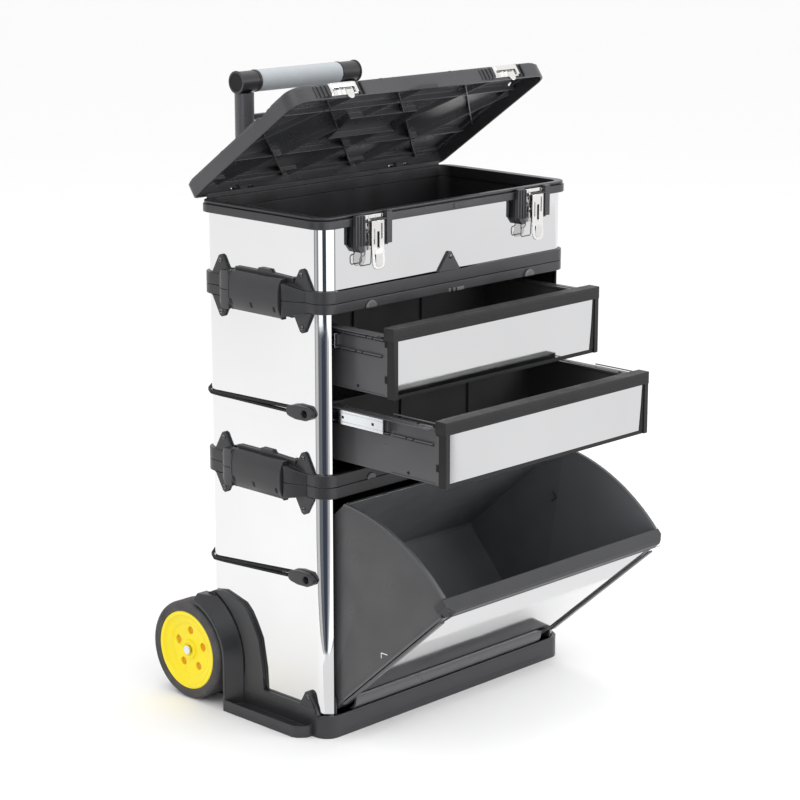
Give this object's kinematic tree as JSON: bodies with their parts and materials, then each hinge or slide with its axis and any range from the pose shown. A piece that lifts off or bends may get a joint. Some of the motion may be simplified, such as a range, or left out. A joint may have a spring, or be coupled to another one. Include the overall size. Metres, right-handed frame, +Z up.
{
  "type": "rolling tool cart",
  "caption": "Rolling stacked tool cart: lidded top box over a drawer cabinet and a tip-out bin on a wheeled base, with a telescopic pull handle and steel-clad dark plastic bodies.",
  "frame": {"origin": "underside of the base, midway across and midway between the front and back of the boxes", "axes": "+Z up, the drawers open towards -Y, +X to the right of someone facing the drawers"},
  "size_m": [0.52, 0.5241, 0.8549],
  "materials": {
    "dark_plastic": "satin dark grey moulded plastic, fine texture",
    "gloss_plastic": "glossy near-black moulded plastic",
    "stainless": "mirror-polished stainless steel sheet",
    "chrome": "bright plated steel",
    "zinc_steel": "bright zinc-plated steel",
    "painted_tube": "dark grey powder-coated steel tube",
    "tyre": "dark grey solid rubber, worn matt",
    "yellow_plastic": "bright yellow moulded plastic",
    "foam": "light grey closed-cell foam",
    "cord": "black braided elastic"
  },
  "bodies": {
    "cabinet_stack": {"base": "dark_plastic", "axle": "zinc_steel", "lower_steel_wrap": "stainless", "lower_carcass": "dark_plastic", "middle_steel_wrap": "stainless", "middle_carcass": "dark_plastic", "top_steel_wrap": "stainless", "top_tub": "dark_plastic", "top_rim": "dark_plastic", "tube_brace": "dark_plastic", "upper_strap": "cord", "lower_strap": "cord", "hinge_pin_left": "zinc_steel", "latch_bracket_left": "dark_plastic", "latch_plate_left": "chrome", "upper_slide_rail_left": "zinc_steel", "lower_slide_rail_left": "zinc_steel", "upper_toggle_left": "dark_plastic", "lower_toggle_left": "dark_plastic", "handle_tube_left": "painted_tube", "hinge_pin_right": "zinc_steel", "latch_bracket_right": "dark_plastic", "latch_plate_right": "chrome", "upper_slide_rail_right": "zinc_steel", "lower_slide_rail_right": "zinc_steel", "upper_toggle_right": "dark_plastic", "lower_toggle_right": "dark_plastic", "handle_tube_right": "painted_tube"},
    "wheel_left": {"tyre_left": "tyre", "hub_left": "yellow_plastic"},
    "latch_left": {"latch_lever_left": "chrome"},
    "bail_left": {"latch_bail_left": "chrome"},
    "upper_clamp_left": {"upper_clamp_left": "dark_plastic"},
    "lower_clamp_left": {"lower_clamp_left": "dark_plastic"},
    "wheel_right": {"tyre_right": "tyre", "hub_right": "yellow_plastic"},
    "latch_right": {"latch_lever_right": "chrome"},
    "bail_right": {"latch_bail_right": "chrome"},
    "upper_clamp_right": {"upper_clamp_right": "dark_plastic"},
    "lower_clamp_right": {"lower_clamp_right": "dark_plastic"},
    "lid": {"lid": "dark_plastic", "lid_catch_left": "chrome", "lid_catch_right": "chrome"},
    "upper_slide": {"upper_slide_member_left": "zinc_steel", "upper_slide_member_right": "zinc_steel"},
    "upper_drawer": {"upper_drawer_tray": "gloss_plastic", "upper_drawer_frame": "gloss_plastic", "upper_drawer_panel": "stainless"},
    "lower_slide": {"lower_slide_member_left": "zinc_steel", "lower_slide_member_right": "zinc_steel"},
    "lower_drawer": {"lower_drawer_tray": "gloss_plastic", "lower_drawer_frame": "gloss_plastic", "lower_drawer_panel": "stainless"},
    "bin": {"bin_tub": "gloss_plastic", "bin_steel_front": "stainless", "bin_rail": "dark_plastic"},
    "handle": {"handle_post_left": "painted_tube", "handle_post_right": "painted_tube", "handle_crossbar": "dark_plastic", "handle_grip": "foam"}
  },
  "joints": [
    {"name": "wheel_spin_left", "type": "hinge", "parent": "cabinet_stack", "child": "wheel_left", "pos_m": [-0.24, 0.136, 0.069], "axis": [1, 0, 0], "continuous": true},
    {"name": "latch_swing_left", "type": "hinge", "parent": "cabinet_stack", "child": "latch_left", "pos_m": [-0.154, -0.1245, 0.684], "axis": [-1, 0, 0], "range_deg": [0, 100]},
    {"name": "bail_hang_left", "type": "hinge", "parent": "latch_left", "child": "bail_left", "pos_m": [-0.154, -0.126, 0.67], "axis": [-1, 0, 0], "range_deg": [-100, 0]},
    {"name": "upper_clamp_swing_left", "type": "hinge", "parent": "cabinet_stack", "child": "upper_clamp_left", "pos_m": [-0.2358, -0.001, 0.6102], "axis": [0, 1, 0], "range_deg": [0, 90]},
    {"name": "lower_clamp_swing_left", "type": "hinge", "parent": "cabinet_stack", "child": "lower_clamp_left", "pos_m": [-0.2358, -0.001, 0.37005], "axis": [0, 1, 0], "range_deg": [0, 90]},
    {"name": "wheel_spin_right", "type": "hinge", "parent": "cabinet_stack", "child": "wheel_right", "pos_m": [0.24, 0.136, 0.069], "axis": [1, 0, 0], "continuous": true},
    {"name": "latch_swing_right", "type": "hinge", "parent": "cabinet_stack", "child": "latch_right", "pos_m": [0.154, -0.1245, 0.684], "axis": [-1, 0, 0], "range_deg": [0, 100]},
    {"name": "bail_hang_right", "type": "hinge", "parent": "latch_right", "child": "bail_right", "pos_m": [0.154, -0.126, 0.67], "axis": [-1, 0, 0], "range_deg": [-100, 0]},
    {"name": "upper_clamp_swing_right", "type": "hinge", "parent": "cabinet_stack", "child": "upper_clamp_right", "pos_m": [0.2358, -0.001, 0.6102], "axis": [0, -1, 0], "range_deg": [0, 90]},
    {"name": "lower_clamp_swing_right", "type": "hinge", "parent": "cabinet_stack", "child": "lower_clamp_right", "pos_m": [0.2358, -0.001, 0.37005], "axis": [0, -1, 0], "range_deg": [0, 90]},
    {"name": "lid_hinge", "type": "hinge", "parent": "cabinet_stack", "child": "lid", "pos_m": [0, 0.126, 0.696], "axis": [-1, 0, 0], "range_deg": [-35, 55]},
    {"name": "upper_slide_travel", "type": "slide", "parent": "cabinet_stack", "child": "upper_slide", "axis": [0, -1, 0], "range_m": [0, 0.1]},
    {"name": "upper_drawer_travel", "type": "slide", "parent": "upper_slide", "child": "upper_drawer", "axis": [0, -1, 0], "range_m": [-0.0875, 0.0125]},
    {"name": "lower_slide_travel", "type": "slide", "parent": "cabinet_stack", "child": "lower_slide", "axis": [0, -1, 0], "range_m": [-0.086, 0.014]},
    {"name": "lower_drawer_travel", "type": "slide", "parent": "lower_slide", "child": "lower_drawer", "axis": [0, -1, 0], "range_m": [-0.091, 0.009]},
    {"name": "bin_tip", "type": "hinge", "parent": "cabinet_stack", "child": "bin", "pos_m": [0, -0.104, 0.047], "axis": [1, 0, 0], "range_deg": [-48.5, 0]},
    {"name": "handle_telescope", "type": "slide", "parent": "cabinet_stack", "child": "handle", "axis": [0, 0, 1], "range_m": [-0.085, 0.18]}
  ],
  "couplings": [
    {"joint": "bail_hang_left", "follows": "latch_swing_left", "ratio": -1},
    {"joint": "bail_hang_right", "follows": "latch_swing_right", "ratio": -1}
  ]
}
